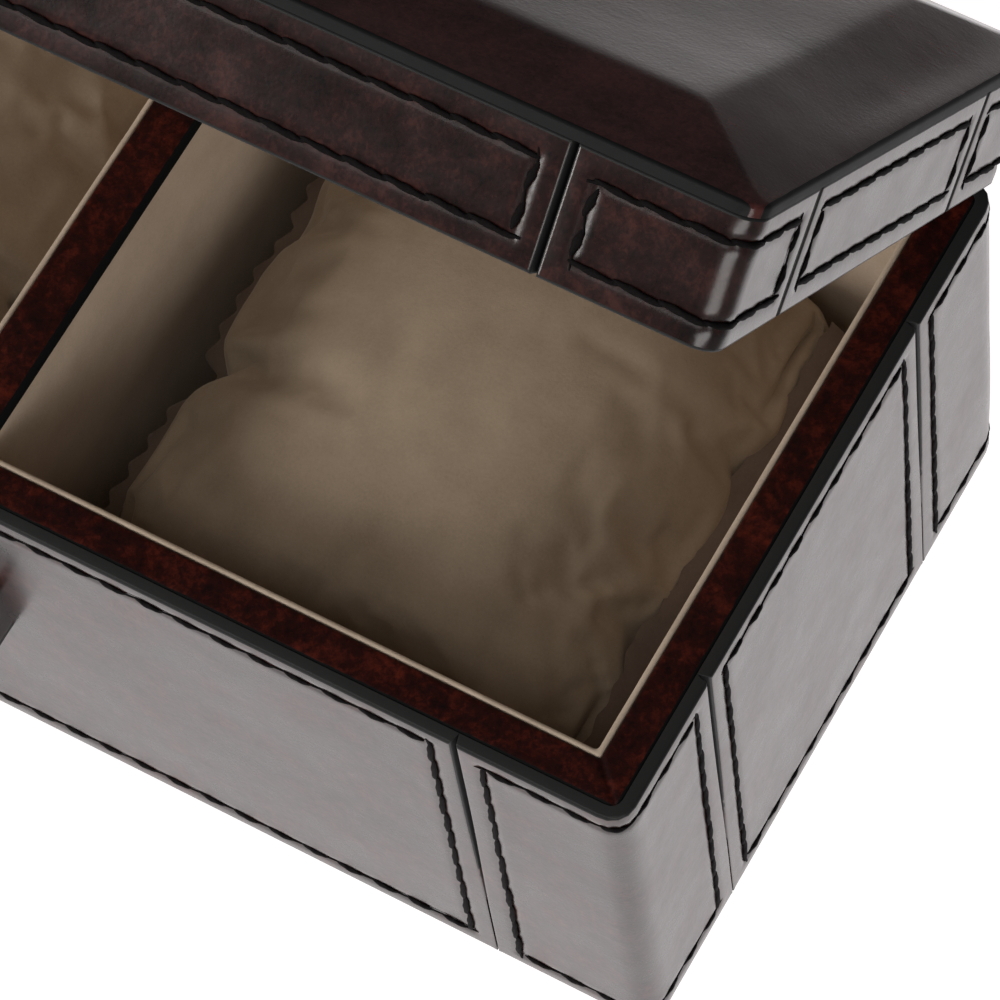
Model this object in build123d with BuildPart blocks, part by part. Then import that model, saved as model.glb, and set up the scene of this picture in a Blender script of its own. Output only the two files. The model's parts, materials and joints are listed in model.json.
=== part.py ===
"""Leather watch box: a divided base, a bevelled lid on two butt hinges, and two loose cushions.

Millimetres. X runs along the front, Y goes back and Z goes up. The origin is the centre of the
underside. The lid stands partly open, turned back about its hinge pins, and its pieces are drawn
where they lie with the lid shut, on workplanes that the opening angle has already turned.
"""

import os

from build123d import *

# Outside of the base, and the layers of its walls from the outside in
box_width = 223.4
box_depth = 110.0
base_height = 77.0
corner_radius = 3.8
leather = 2.1
board = 5.7
suede = 1.0

# Base details
underside_cover = 1.5
floor_board = 5.0
rim_leather = 1.2
divider_board = 6.8
seam_gap = 0.3
base_seam_x = 26.5  # from a corner to the upright seam on the front or back
base_seam_y = 24.6  # from a corner to the upright seam on a side
lining_drop = 0.2  # the lining stops this far below the rim

# Lid
lid_gap = 0.3
lid_open_angle = 45.4
lid_band = 18.6  # height of the leather band around the lid
lid_edge = 1.6  # painted edge of the top leather, above the band
bevel_run = 16.4
bevel_rise = 4.7
lid_board_edge = 2.5  # thickness of the top board at its outer edge
lid_seam_x = 25.5
lid_seam_y = 22.6

# Hand stitching, drawn as a plain raised thread
thread_width = 0.9
thread_height = 0.4
stitch_from_seam = 4.0
stitch_from_edge = 3.8

# Butt hinges
hinge_behind = 2.6  # pin axis behind the back face
hinge_above = 1.5  # pin axis above the rim of the base
hinge_spacing = 124.0
leaf_length = 30.0
leaf_height = 13.0
leaf_thickness = 1.2
leaf_from_axis = 2.8  # the plate stops here, clear of the other leaf's knuckle
knuckle_root = 1.5  # and comes this close to the axis beside its own knuckles
leaf_corner = 1.0
web_shoulder = (0.2, 2.3)  # the web between plate and knuckle, from the axis, on its rear side
web_foot = 2.0  # and on its front side
barrel_radius = 2.5
pin_radius = 1.15
pin_clearance = 0.05
knuckle_gap = 0.2
middle_knuckle = 9.8
pin_head_radius = 1.8
pin_head = 0.6

# Screws through the hinge leaves
screw_pitch = 10.0
screw_head_radius = 1.9
screw_shank_radius = 0.9
screw_clearance = 0.1
screw_length = 6.5
screw_point = 1.0

# Closure: a keeper loop on the base and a tongue on the lid that drops into it
keeper_low = 36.7
keeper_height = 13.3
keeper_half_width = 7.0
keeper_reach = 6.4
keeper_corner = 2.6
strap = 1.4
slit_clearance = 0.05
tongue_width = 9.0
tongue_thickness = 1.8
tongue_standoff = 1.0
tongue_tip = 44.0
tongue_top_drop = 4.0  # from the top of the lid band to the tongue's sewn end
tongue_tip_radius = 4.2
tongue_bend = 2.0  # above and below the lid's lower edge, where it steps out to clear the base
fitting_margin = 1.0  # the stitching stops this far short of a fitting, both ends together

# Cushions
cushion_width = 86.0
cushion_depth = 86.0
cushion_height = 56.0
cushion_corner = 20.0
cushion_flat = 0.5  # left flat around the middle when its edges are rounded
cushion_clearance = 0.3
cover_thickness = 1.0
filling_clearance = 0.1

# Levels and spans that follow from the dimensions above
half_width = box_width / 2
half_depth = box_depth / 2
skin_x = half_width - leather
skin_y = half_depth - leather
hollow_x = skin_x - board
hollow_y = skin_y - board
board_corner = corner_radius - leather
board_top = base_height - rim_leather
floor_top = underside_cover + floor_board
lining_top = base_height - lining_drop
divider_half = divider_board / 2
bay_low = divider_half + suede
bay_high = hollow_x - suede
bay_depth = 2 * (hollow_y - suede)
lid_low = base_height + lid_gap
lid_board_low = lid_low + rim_leather
band_top = lid_low + lid_band
lid_ceiling = band_top - lid_board_edge
hinge_y = half_depth + hinge_behind
hinge_z = base_height + hinge_above

# The base's workplanes stand upright; the lid's are turned back about the hinge axis.
base_frame = Location()
lid_frame = (
    Location((0, hinge_y, hinge_z))
    * Location((0, 0, 0), (-lid_open_angle, 0, 0))
    * Location((0, -hinge_y, -hinge_z))
)

sides = ("front", "back", "left", "right")
wall_half = {"front": half_width, "back": half_width, "left": half_depth, "right": half_depth}
outward = {"front": (0, -1), "back": (0, 1), "left": (-1, 0), "right": (1, 0)}
corners = {
    "front_left": (-1, -1),
    "front_right": (1, -1),
    "back_left": (-1, 1),
    "back_right": (1, 1),
}


def level(height, frame=base_frame):
    """A flat workplane at a height, in the base or in the lid."""
    return Plane(frame * Location((0, 0, height)))


def wall(side, frame=base_frame):
    """The outer face of a wall as a workplane: local x along it, local y up, normal outward."""
    x_out, y_out = outward[side]
    face = Plane(
        origin=(x_out * half_width, y_out * half_depth, 0),
        x_dir=(-y_out, x_out, 0),
        z_dir=(x_out, y_out, 0),
    )
    return Plane(frame * face.location)


def write(piece, name):
    """Label a finished piece and write it."""
    piece.part.label = name
    export_step(piece.part, f"parts/{name}.step")


def panel(x_span, y_span, z_span, frame=base_frame):
    """A rectangular panel that fills three (low, high) spans."""
    with BuildPart() as sheet:
        with BuildSketch(level(z_span[0], frame)):
            with Locations((sum(x_span) / 2, sum(y_span) / 2)):
                Rectangle(x_span[1] - x_span[0], y_span[1] - y_span[0])
        extrude(amount=z_span[1] - z_span[0])
    return sheet


def wall_board(side, z_span, frame=base_frame, screw_holes=()):
    """A board of the carcase. Side boards run the full depth and the others fit between them."""
    x_out, y_out = outward[side]
    middle = ((skin_x + hollow_x) / 2 * x_out, (skin_y + hollow_y) / 2 * y_out)
    length = 2 * hollow_x if y_out else 2 * skin_y
    with BuildPart() as plank:
        with BuildSketch(level(z_span[0], frame)):
            RectangleRounded(2 * skin_x, 2 * skin_y, board_corner)
            with Locations(middle):
                if y_out:
                    Rectangle(length, board, mode=Mode.INTERSECT)
                else:
                    Rectangle(board, length, mode=Mode.INTERSECT)
        extrude(amount=z_span[1] - z_span[0])
        if screw_holes:
            with BuildSketch(wall(side, frame)):
                with Locations(*screw_holes):
                    Circle(screw_shank_radius + screw_clearance)
            extrude(amount=-screw_length, mode=Mode.SUBTRACT)
    return plank


def leather_panel(side, z_span, seam, frame=base_frame, screw_holes=(), slits=()):
    """The middle leather panel of a wall, between its two upright seams."""
    with BuildPart() as hide:
        with BuildSketch(wall(side, frame)):
            with Locations((0, sum(z_span) / 2)):
                Rectangle(2 * (wall_half[side] - seam) - seam_gap, z_span[1] - z_span[0])
            if screw_holes:
                with Locations(*screw_holes):
                    Circle(screw_shank_radius + screw_clearance, mode=Mode.SUBTRACT)
            if slits:
                with Locations(*slits):
                    Rectangle(
                        strap + 2 * slit_clearance,
                        keeper_height + 2 * slit_clearance,
                        mode=Mode.SUBTRACT,
                    )
        extrude(amount=-leather)
    return hide


def leather_corner(corner, z_span, seam_x, seam_y, frame=base_frame):
    """The leather wrapped around an upright corner, out to the seam on each side of it."""
    x_sign, y_sign = corners[corner]
    with BuildPart() as wrap:
        with BuildSketch(level(z_span[0], frame)):
            RectangleRounded(box_width, box_depth, corner_radius)
            RectangleRounded(2 * skin_x, 2 * skin_y, board_corner, mode=Mode.SUBTRACT)
            with Locations((x_sign * half_width, y_sign * half_depth)):
                Rectangle(2 * seam_x, 2 * seam_y, mode=Mode.INTERSECT)
        extrude(amount=z_span[1] - z_span[0])
    return wrap


def rim_strip(side, z_low, frame=base_frame):
    """A strip of leather on the top edge of one wall, mitred at both ends."""
    x_out, y_out = outward[side]
    near, far = (skin_x, skin_y), (hollow_x, hollow_y)
    if y_out:
        outline = [(-near[0], y_out * near[1]), (near[0], y_out * near[1])]
        outline += [(far[0], y_out * far[1]), (-far[0], y_out * far[1])]
    else:
        outline = [(x_out * near[0], -near[1]), (x_out * near[0], near[1])]
        outline += [(x_out * far[0], far[1]), (x_out * far[0], -far[1])]
    with BuildPart() as strip:
        with BuildSketch(level(z_low, frame)):
            RectangleRounded(2 * skin_x, 2 * skin_y, board_corner)
            with BuildLine():
                Polyline(*outline, close=True)
            make_face(mode=Mode.INTERSECT)
        extrude(amount=rim_leather)
    return strip


def lining_wall(x_span, z_span, frame=base_frame):
    """One strip of suede glued around the four walls of a bay."""
    with BuildPart() as band:
        with BuildSketch(level(z_span[0], frame)):
            with Locations((sum(x_span) / 2, 0)):
                Rectangle(x_span[1] - x_span[0], 2 * hollow_y)
                Rectangle(x_span[1] - x_span[0] - 2 * suede, bay_depth, mode=Mode.SUBTRACT)
        extrude(amount=z_span[1] - z_span[0])
    return band


def stitching(z_span, seam_x, seam_y, gaps, frame=base_frame):
    """Thread around every panel: a frame on each middle panel and one on each corner's two flaps.

    gaps are the (side, centre, width, height) rectangles that a fitting covers.
    """
    low, high = z_span[0] + stitch_from_edge, z_span[1] - stitch_from_edge
    with BuildPart() as thread:
        for side in sides:
            seam = seam_x if side in ("front", "back") else seam_y
            middle = 2 * (wall_half[side] - seam - stitch_from_seam)
            flap = seam - stitch_from_seam - corner_radius
            flap_centre = wall_half[side] - corner_radius - flap / 2
            with BuildSketch(wall(side, frame)):
                frames = [(0, middle), (-flap_centre, flap), (flap_centre, flap)]
                for centre, width in frames:
                    with Locations((centre, (low + high) / 2)):
                        Rectangle(width + thread_width, high - low + thread_width)
                        Rectangle(
                            width - thread_width, high - low - thread_width, mode=Mode.SUBTRACT
                        )
                for gap_side, centre, width, height in gaps:
                    if gap_side == side:
                        with Locations(centre):
                            Rectangle(width, height, mode=Mode.SUBTRACT)
            extrude(amount=thread_height)
    return thread


def screw_points(hinge_sign, height):
    """Screw positions of one leaf in the back wall's own plane, whose local x runs towards -X."""
    return [(-hinge_sign * hinge_spacing / 2 + step * screw_pitch, height) for step in (-1, 0, 1)]


def hinge_leaf(hinge_sign, up, spans, frame):
    """A leaf on the back face with its knuckles. up is 1 for the lid's leaf and -1 for the base's."""
    centre = hinge_sign * hinge_spacing / 2
    plate_middle = hinge_z + up * (leaf_from_axis + leaf_height / 2)
    web_end = leaf_from_axis + leaf_thickness
    web = [(-hinge_behind, web_end), (leaf_thickness - hinge_behind, web_end), web_shoulder]
    web += [(0, 0), (-web_foot, knuckle_root), (-hinge_behind, knuckle_root)]
    bore_radius = pin_radius + pin_clearance
    with BuildPart() as leaf:
        with BuildSketch(wall("back", frame)):
            with Locations((-centre, plate_middle)):
                RectangleRounded(leaf_length, leaf_height, leaf_corner)
        extrude(amount=leaf_thickness)
        for low, high in spans:
            side_view = Plane(origin=(centre + low, hinge_y, hinge_z), x_dir=(0, 1, 0), z_dir=(1, 0, 0))
            with BuildSketch(Plane(frame * side_view.location)):
                with BuildLine():
                    Polyline(*[(y, up * z) for y, z in web], close=True)
                make_face()
            extrude(amount=high - low)
            with BuildSketch(Plane(frame * side_view.location)):
                Circle(barrel_radius)
            extrude(amount=high - low)
        with BuildSketch(Plane(frame * Location((centre - leaf_length, hinge_y, hinge_z), (0, 90, 0)))):
            Circle(bore_radius)
        extrude(amount=2 * leaf_length, mode=Mode.SUBTRACT)
        outer_face = wall("back", frame).offset(leaf_thickness)
        with Locations(outer_face):
            with Locations(*screw_points(hinge_sign, plate_middle)):
                CounterSinkHole(
                    screw_shank_radius + screw_clearance,
                    screw_head_radius + screw_clearance,
                    depth=leaf_thickness,
                    counter_sink_angle=90,
                )
    return leaf


def hinge_screws(up, frame):
    """The countersunk screws of both leaves on the base or on the lid."""
    height = hinge_z + up * (leaf_from_axis + leaf_height / 2)
    head_depth = screw_head_radius - screw_shank_radius
    with BuildPart() as screws:
        for hinge_sign in (-1, 1):
            for along, up_wall in screw_points(hinge_sign, height):
                outer_face = wall("back", frame).offset(leaf_thickness)
                axis_plane = Plane(outer_face.location * Location((along, up_wall, 0), (90, 0, 0)))
                with BuildSketch(axis_plane):
                    with BuildLine():
                        Polyline(
                            (0, 0),
                            (screw_head_radius, 0),
                            (screw_shank_radius, -head_depth),
                            (screw_shank_radius, screw_point - screw_length),
                            (0, -screw_length),
                            close=True,
                        )
                    make_face()
                revolve(axis=Axis(axis_plane.origin, axis_plane.y_dir))
    return screws


def hinge_pin(hinge_sign):
    """A steel pin through the knuckles with a head against each end of the barrel."""
    middle = Location((hinge_sign * hinge_spacing / 2, hinge_y, hinge_z), (0, 90, 0))
    barrel_half = leaf_length / 2
    with BuildPart() as pin:
        with BuildSketch(Plane(middle)):
            Circle(pin_radius)
        extrude(amount=barrel_half, both=True)
        for end in (-1, 1):
            with BuildSketch(Plane(middle).offset(end * barrel_half)):
                Circle(pin_head_radius)
            extrude(amount=end * pin_head)
    return pin


def bevelled_block(low, edge_top, flat_top):
    """A slab the size of the lid, from low up to edge_top, with four bevels rising to a flat."""
    with BuildPart() as block:
        with BuildSketch(level(low, lid_frame)):
            Rectangle(box_width, box_depth)
        extrude(amount=edge_top - low)
        with BuildSketch(level(edge_top, lid_frame)):
            Rectangle(box_width, box_depth)
        with BuildSketch(level(flat_top, lid_frame)):
            Rectangle(box_width - 2 * bevel_run, box_depth - 2 * bevel_run)
        loft()
    return block


def plump_block(x_sign, shrink):
    """A cushion's outer shape, drawn in on every side by shrink."""
    middle = x_sign * (bay_low + bay_high) / 2
    radius = cushion_corner - shrink
    with BuildPart() as block:
        with BuildSketch(Plane.XY.offset(floor_top + suede + cushion_clearance + shrink)):
            with Locations((middle, 0)):
                RectangleRounded(cushion_width - 2 * shrink, cushion_depth - 2 * shrink, radius)
        extrude(amount=cushion_height - 2 * shrink)
        fillet(block.faces().filter_by(Axis.Z).edges(), radius - cushion_flat)
    return block


os.makedirs("parts", exist_ok=True)

# ---------------------------------------------------------------- base carcase
base_boards = (underside_cover, board_top)
base_leaf_middle = hinge_z - leaf_from_axis - leaf_height / 2
base_screws = screw_points(-1, base_leaf_middle) + screw_points(1, base_leaf_middle)
for side in sides:
    holes = base_screws if side == "back" else ()
    write(wall_board(side, base_boards, base_frame, holes), f"base_{side}_board")

bottom_board = panel((-hollow_x, hollow_x), (-hollow_y, hollow_y), (underside_cover, floor_top))
write(bottom_board, "base_bottom_board")

divider = panel((-divider_half, divider_half), (-hollow_y, hollow_y), (floor_top, board_top))
write(divider, "divider_board")

with BuildPart() as underside:
    with BuildSketch():
        RectangleRounded(2 * skin_x, 2 * skin_y, board_corner)
    extrude(amount=underside_cover)
write(underside, "underside_cover")

# ---------------------------------------------------------------- base leather
base_span = (0, base_height)
keeper_middle = keeper_low + keeper_height / 2
keeper_slits = [(sign * (keeper_half_width - strap / 2), keeper_middle) for sign in (-1, 1)]
base_seam = {"front": base_seam_x, "back": base_seam_x, "left": base_seam_y, "right": base_seam_y}
for side in sides:
    holes = base_screws if side == "back" else ()
    slits = keeper_slits if side == "front" else ()
    hide_panel = leather_panel(side, base_span, base_seam[side], base_frame, holes, slits)
    write(hide_panel, f"base_{side}_leather")
    write(rim_strip(side, board_top), f"rim_leather_{side}")

for corner in corners:
    write(leather_corner(corner, base_span, base_seam_x, base_seam_y), f"base_corner_{corner}")

# The strip on the divider covers the right bay's lining and leaves the left bay's edge showing.
divider_strip = panel((-divider_half, bay_low), (-hollow_y, hollow_y), (board_top, base_height))
write(divider_strip, "divider_leather_top")

leaf_gap = (leaf_length + fitting_margin, leaf_height + fitting_margin)
base_gaps = [
    ("back", (sign * hinge_spacing / 2, base_leaf_middle), *leaf_gap) for sign in (-1, 1)
]
write(stitching(base_span, base_seam_x, base_seam_y, base_gaps), "base_stitching")

# ---------------------------------------------------------------- bay linings
for name, x_sign in (("left", -1), ("right", 1)):
    x_span = sorted((x_sign * divider_half, x_sign * hollow_x))
    floor_span = sorted((x_sign * bay_low, x_sign * bay_high))
    y_span = (-bay_depth / 2, bay_depth / 2)
    # The right bay's lining tucks under the divider's leather strip.
    with BuildPart() as lining:
        add(lining_wall(x_span, (floor_top, lining_top)).part)
        with BuildSketch(Plane.XY.offset(board_top)):
            with Locations(((bay_low - divider_half) / 2, 0)):
                Rectangle(divider_board + suede, 2 * hollow_y)
        extrude(amount=rim_leather, mode=Mode.SUBTRACT)
    write(lining, f"lining_wall_{name}")
    write(panel(floor_span, y_span, (floor_top, floor_top + suede)), f"lining_floor_{name}")

# ---------------------------------------------------------------- closure, base half
with BuildPart() as keeper:
    with BuildSketch(Plane.XY.offset(keeper_low)):
        with Locations((0, -half_depth)):
            RectangleRounded(2 * keeper_half_width, 2 * keeper_reach, keeper_corner)
            RectangleRounded(
                2 * (keeper_half_width - strap),
                2 * (keeper_reach - strap),
                keeper_corner - strap,
                mode=Mode.SUBTRACT,
            )
        with Locations((0, -skin_y)):
            Rectangle(
                2 * keeper_half_width,
                keeper_reach,
                align=(Align.CENTER, Align.MIN),
                mode=Mode.SUBTRACT,
            )
    extrude(amount=keeper_height)
write(keeper, "keeper_loop")

# ---------------------------------------------------------------- lid carcase
lid_boards = (lid_board_low, lid_ceiling)
lid_leaf_middle = hinge_z + leaf_from_axis + leaf_height / 2
lid_screws = screw_points(-1, lid_leaf_middle) + screw_points(1, lid_leaf_middle)
for side in sides:
    holes = lid_screws if side == "back" else ()
    write(wall_board(side, lid_boards, lid_frame, holes), f"lid_{side}_board")

with BuildPart() as lid_top_board:
    add(bevelled_block(lid_ceiling, band_top, band_top + bevel_rise).part)
    with BuildSketch(level(lid_ceiling, lid_frame)):
        RectangleRounded(2 * skin_x, 2 * skin_y, board_corner)
    extrude(amount=lid_board_edge + bevel_rise, mode=Mode.INTERSECT)
write(lid_top_board, "lid_top_board")

# ---------------------------------------------------------------- lid leather
band_span = (lid_low, band_top)
lid_seam = {"front": lid_seam_x, "back": lid_seam_x, "left": lid_seam_y, "right": lid_seam_y}
for side in sides:
    holes = lid_screws if side == "back" else ()
    write(leather_panel(side, band_span, lid_seam[side], lid_frame, holes), f"lid_{side}_leather")

for corner in corners:
    lid_corner = leather_corner(corner, band_span, lid_seam_x, lid_seam_y, lid_frame)
    write(lid_corner, f"lid_corner_{corner}")

with BuildPart() as lid_top_leather:
    add(bevelled_block(band_top, band_top + lid_edge, band_top + lid_edge + bevel_rise).part)
    add(bevelled_block(lid_ceiling, band_top, band_top + bevel_rise).part, mode=Mode.SUBTRACT)
    with BuildSketch(level(band_top, lid_frame)):
        RectangleRounded(box_width, box_depth, corner_radius)
    extrude(amount=lid_edge + bevel_rise, mode=Mode.INTERSECT)
write(lid_top_leather, "lid_top_leather")

with BuildPart() as lid_rim:
    with BuildSketch(level(lid_low, lid_frame)):
        RectangleRounded(2 * skin_x, 2 * skin_y, board_corner)
        Rectangle(2 * hollow_x, 2 * hollow_y, mode=Mode.SUBTRACT)
    extrude(amount=rim_leather)
write(lid_rim, "lid_rim_leather")

band_middle = sum(band_span) / 2
lid_gaps = [
    ("back", (sign * hinge_spacing / 2, band_middle), leaf_length + fitting_margin, lid_band)
    for sign in (-1, 1)
]
lid_gaps.append(("front", (0, band_middle), tongue_width + fitting_margin, lid_band))
write(stitching(band_span, lid_seam_x, lid_seam_y, lid_gaps, lid_frame), "lid_stitching")

lid_lining = lining_wall(
    (-hollow_x, hollow_x), (lid_low + lining_drop, lid_ceiling - suede), lid_frame
)
write(lid_lining, "lid_lining_wall")
ceiling_span = (lid_ceiling - suede, lid_ceiling)
lid_ceiling_lining = panel(
    (-hollow_x, hollow_x), (-hollow_y, hollow_y), ceiling_span, lid_frame
)
write(lid_ceiling_lining, "lid_ceiling_lining")

# ---------------------------------------------------------------- closure, lid half
sewn_face = -half_depth
hanging_face = -half_depth - tongue_standoff
tongue_outline = [
    (sewn_face, band_top - tongue_top_drop),
    (sewn_face, lid_low + tongue_bend),
    (hanging_face, lid_low - tongue_bend),
    (hanging_face, tongue_tip),
    (hanging_face - tongue_thickness, tongue_tip),
    (hanging_face - tongue_thickness, lid_low - tongue_bend),
    (sewn_face - tongue_thickness, lid_low + tongue_bend),
    (sewn_face - tongue_thickness, band_top - tongue_top_drop),
]
tongue_length = band_top - tongue_top_drop - tongue_tip
with BuildPart() as tongue:
    side_view = Plane(origin=(-tongue_width / 2, 0, 0), x_dir=(0, 1, 0), z_dir=(1, 0, 0))
    with BuildSketch(Plane(lid_frame * side_view.location)):
        with BuildLine():
            Polyline(*tongue_outline, close=True)
        make_face()
    extrude(amount=tongue_width)
    with BuildSketch(wall("front", lid_frame)):
        with Locations((0, tongue_tip)):
            RectangleRounded(
                tongue_width,
                tongue_length + 2 * tongue_tip_radius,
                tongue_tip_radius,
                align=(Align.CENTER, Align.MIN),
            )
    extrude(amount=2 * tongue_thickness + tongue_standoff, mode=Mode.INTERSECT)
write(tongue, "lid_tongue")

# ---------------------------------------------------------------- hinges
lid_knuckle = middle_knuckle / 2
base_knuckle = lid_knuckle + knuckle_gap
base_spans = [(-leaf_length / 2, -base_knuckle), (base_knuckle, leaf_length / 2)]
lid_spans = [(-lid_knuckle, lid_knuckle)]
for name, hinge_sign in (("left", -1), ("right", 1)):
    write(hinge_leaf(hinge_sign, -1, base_spans, base_frame), f"hinge_{name}_base_leaf")
    write(hinge_leaf(hinge_sign, 1, lid_spans, lid_frame), f"hinge_{name}_lid_leaf")
    write(hinge_pin(hinge_sign), f"hinge_{name}_pin")
write(hinge_screws(-1, base_frame), "base_hinge_screws")
write(hinge_screws(1, lid_frame), "lid_hinge_screws")

# ---------------------------------------------------------------- cushions
for name, x_sign in (("left", -1), ("right", 1)):
    with BuildPart() as cover:
        add(plump_block(x_sign, 0).part)
        add(plump_block(x_sign, cover_thickness).part, mode=Mode.SUBTRACT)
    write(cover, f"cushion_{name}_cover")
    filling = plump_block(x_sign, cover_thickness + filling_clearance)
    write(filling, f"cushion_{name}_filling")
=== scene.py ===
"""The looks of a leather-covered watch box with two cushions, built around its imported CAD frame."""

import json
import math

import bmesh
import bpy
import numpy as np
from mathutils import Matrix, Vector


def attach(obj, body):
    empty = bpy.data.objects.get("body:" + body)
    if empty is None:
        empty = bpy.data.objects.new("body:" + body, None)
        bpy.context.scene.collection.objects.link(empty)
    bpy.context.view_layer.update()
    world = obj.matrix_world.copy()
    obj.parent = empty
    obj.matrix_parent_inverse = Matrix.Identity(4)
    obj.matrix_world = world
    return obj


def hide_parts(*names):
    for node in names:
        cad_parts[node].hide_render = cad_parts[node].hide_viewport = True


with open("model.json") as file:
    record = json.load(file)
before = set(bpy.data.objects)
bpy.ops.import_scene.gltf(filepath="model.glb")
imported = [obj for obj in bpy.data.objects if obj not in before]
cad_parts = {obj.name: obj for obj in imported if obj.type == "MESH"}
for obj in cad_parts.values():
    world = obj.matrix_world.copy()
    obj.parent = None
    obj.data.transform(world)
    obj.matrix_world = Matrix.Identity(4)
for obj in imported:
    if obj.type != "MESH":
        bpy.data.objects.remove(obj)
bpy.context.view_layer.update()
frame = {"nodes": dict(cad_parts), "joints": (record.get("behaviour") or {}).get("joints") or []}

# Lengths in this script are millimetres in the row frame, and become metres as meshes are made.
MM = 0.001

# ---------------------------------------------------------------- sizes taken from the frame

hinge = next(joint for joint in frame["joints"] if joint["name"] == "lid_hinge")
open_angle = -hinge["range_deg"][0]
hinge_point = np.array(hinge["pos_m"]) / MM


def turned(points, degrees):
    """Points turned about the hinge pin; positive opens the lid."""
    angle = math.radians(degrees)
    c, s = math.cos(angle), math.sin(angle)
    local = np.asarray(points, float) - hinge_point
    y = local[..., 1] * c + local[..., 2] * s
    z = local[..., 2] * c - local[..., 1] * s
    return np.stack([local[..., 0], y, z], axis=-1) + hinge_point


def opened(points):
    """Points given with the lid closed, moved to where the open lid has them."""
    return turned(points, open_angle)


def extent(node, closed=False):
    """Lowest and highest corner of a CAD node, with the lid turned shut for a lid's node."""
    points = np.array([vertex.co for vertex in frame["nodes"][node].data.vertices]) / MM
    if closed:
        points = turned(points, -open_angle)
    return points.min(axis=0), points.max(axis=0)


front_low, front_high = extent("base_front_leather")
right_low, right_high = extent("base_right_leather")
rim_low, rim_high = extent("rim_leather_right")
half_width = right_high[0]
half_depth = -front_low[1]
base_top = front_high[2]
leather = right_high[0] - right_low[0]
base_seam_x = front_high[0]
base_seam_y = right_high[1]
skin_x, skin_y = half_width - leather, half_depth - leather
hollow_x = rim_low[0]
hollow_y = skin_y - (skin_x - hollow_x)
rim_thickness = rim_high[2] - rim_low[2]

lid_front_low, lid_front_high = extent("lid_front_leather", closed=True)
lid_low, band_top = lid_front_low[2], lid_front_high[2]
lid_top = extent("lid_top_leather", closed=True)[1][2]
lid_seam_x = lid_front_high[0]
lid_seam_y = extent("lid_right_leather", closed=True)[1][1]

corner_radius = 3.8
seam_gap = 0.3
suede = 1.0

sharp_angle = 55.0  # faces that meet more steeply than this, in degrees, have a sharp edge

# Stitching
stitch_pitch = 6.1
stitch_from_seam = 4.0
stitch_from_edge = 3.8
stitch_slant = 0.30
thread_radius = 0.38
link_radius = 0.15  # the thin thread between two stitches
seam_gape = 0.22  # how far a seam's edges part at the surface
panel_inset = 0.12  # the hides lie this far inside the CAD's faces
tall_panel = 40.0  # a panel higher than this has seams that close towards the bottom
fitting_margin = 0.5  # the stitching stops this far from a fitting

# A stitch whose line is pulled tight into a cord, and one that shows by itself: its size, its slant,
# how far it overlaps the next as a share of its length, how pointed it is, and the size of its link.
corded_stitch = (0.85, 0.80, 0.06, 0.45, 1.6)
single_stitch = (1.00, 1.15, -0.13, 0.75, 1.0)

# Lid top
lid_edge = 1.6
bevel_run = 16.4

# ---------------------------------------------------------------- numbers that vary smoothly


def waves(points, wavelength, seed):
    """A smooth random field of about -1 to 1: plane waves in random directions, added up."""
    count = 9
    draw = np.random.default_rng(seed)
    directions = draw.normal(size=(count, 3))
    directions /= np.linalg.norm(directions, axis=1)[:, None]
    lengths = wavelength * draw.uniform(0.7, 1.5, count)
    phases = draw.uniform(0, 2 * math.pi, count)
    angles = np.asarray(points) @ (directions / lengths[:, None]).T * 2 * math.pi + phases
    return np.sin(angles).sum(axis=-1) / math.sqrt(count)


def hill(distance, width):
    """1 at a distance of 0, falling off smoothly over a width."""
    return np.exp(-((distance / width) ** 2))


def smooth_step(value, low, high):
    """0 below low, 1 above high, and a smooth rise between them."""
    t = np.clip((value - low) / (high - low), 0, 1)
    return t * t * (3 - 2 * t)


def stations(low, high, step, fine_step=None, marks=(), reach=1.6):
    """Rising numbers from low to high: step apart, and fine_step apart near each mark."""
    count = max(2, int(round((high - low) / step)) + 1)
    found = list(np.linspace(low, high, count))
    for mark in marks:
        start, end = max(low, mark - reach), min(high, mark + reach)
        if end > start:
            found += list(np.linspace(start, end, int(round((end - start) / fine_step)) + 1))
    found = np.unique(np.round(found, 3))
    keep = [found[0]]
    for value in found[1:-1]:
        if value - keep[-1] >= 0.6 * (fine_step or step) and found[-1] - value > 0.05:
            keep.append(value)
    return np.array(keep + [found[-1]])


# ---------------------------------------------------------------- meshes


def grid_faces(rows, columns, wrap_rows=False, wrap_columns=False):
    """Quads of a grid whose points are numbered row by row."""
    r = np.arange(rows if wrap_rows else rows - 1)[:, None]
    c = np.arange(columns if wrap_columns else columns - 1)[None, :]
    r2, c2 = (r + 1) % rows, (c + 1) % columns
    corners = [r * columns + c, r * columns + c2, r2 * columns + c2, r2 * columns + c]
    quads = np.stack([np.broadcast_to(k, (r.size, c.size)) for k in corners], axis=-1)
    return quads.reshape(-1, 4)


def in_scene(name, data):
    """A new object in the scene."""
    piece = bpy.data.objects.new(name, data)
    bpy.context.scene.collection.objects.link(piece)
    return piece


def add_mesh(name, points, faces, body, material, paint=None, replaced=()):
    """A smooth-shaded piece on a body. The lid's points are given with the lid closed.

    paint is 0 to 1 at each point: how much edge paint it has.
    """
    if body == "lid":
        points = opened(points)
    mesh = bpy.data.meshes.new(name)
    mesh.from_pydata([tuple(p) for p in np.asarray(points) * MM], [], [list(map(int, f)) for f in faces])
    form = bmesh.new()
    form.from_mesh(mesh)
    bmesh.ops.recalc_face_normals(form, faces=form.faces)
    form.to_mesh(mesh)
    form.free()
    mesh.shade_smooth()
    mesh.set_sharp_from_angle(angle=math.radians(sharp_angle))
    if paint is not None:
        attribute = mesh.attributes.new("paint", "FLOAT", "POINT")
        attribute.data.foreach_set("value", np.asarray(paint, np.float32))
    mesh.materials.append(material)
    piece = in_scene(name, mesh)
    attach(piece, body)
    if replaced:
        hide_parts(*replaced)
    return piece


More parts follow.
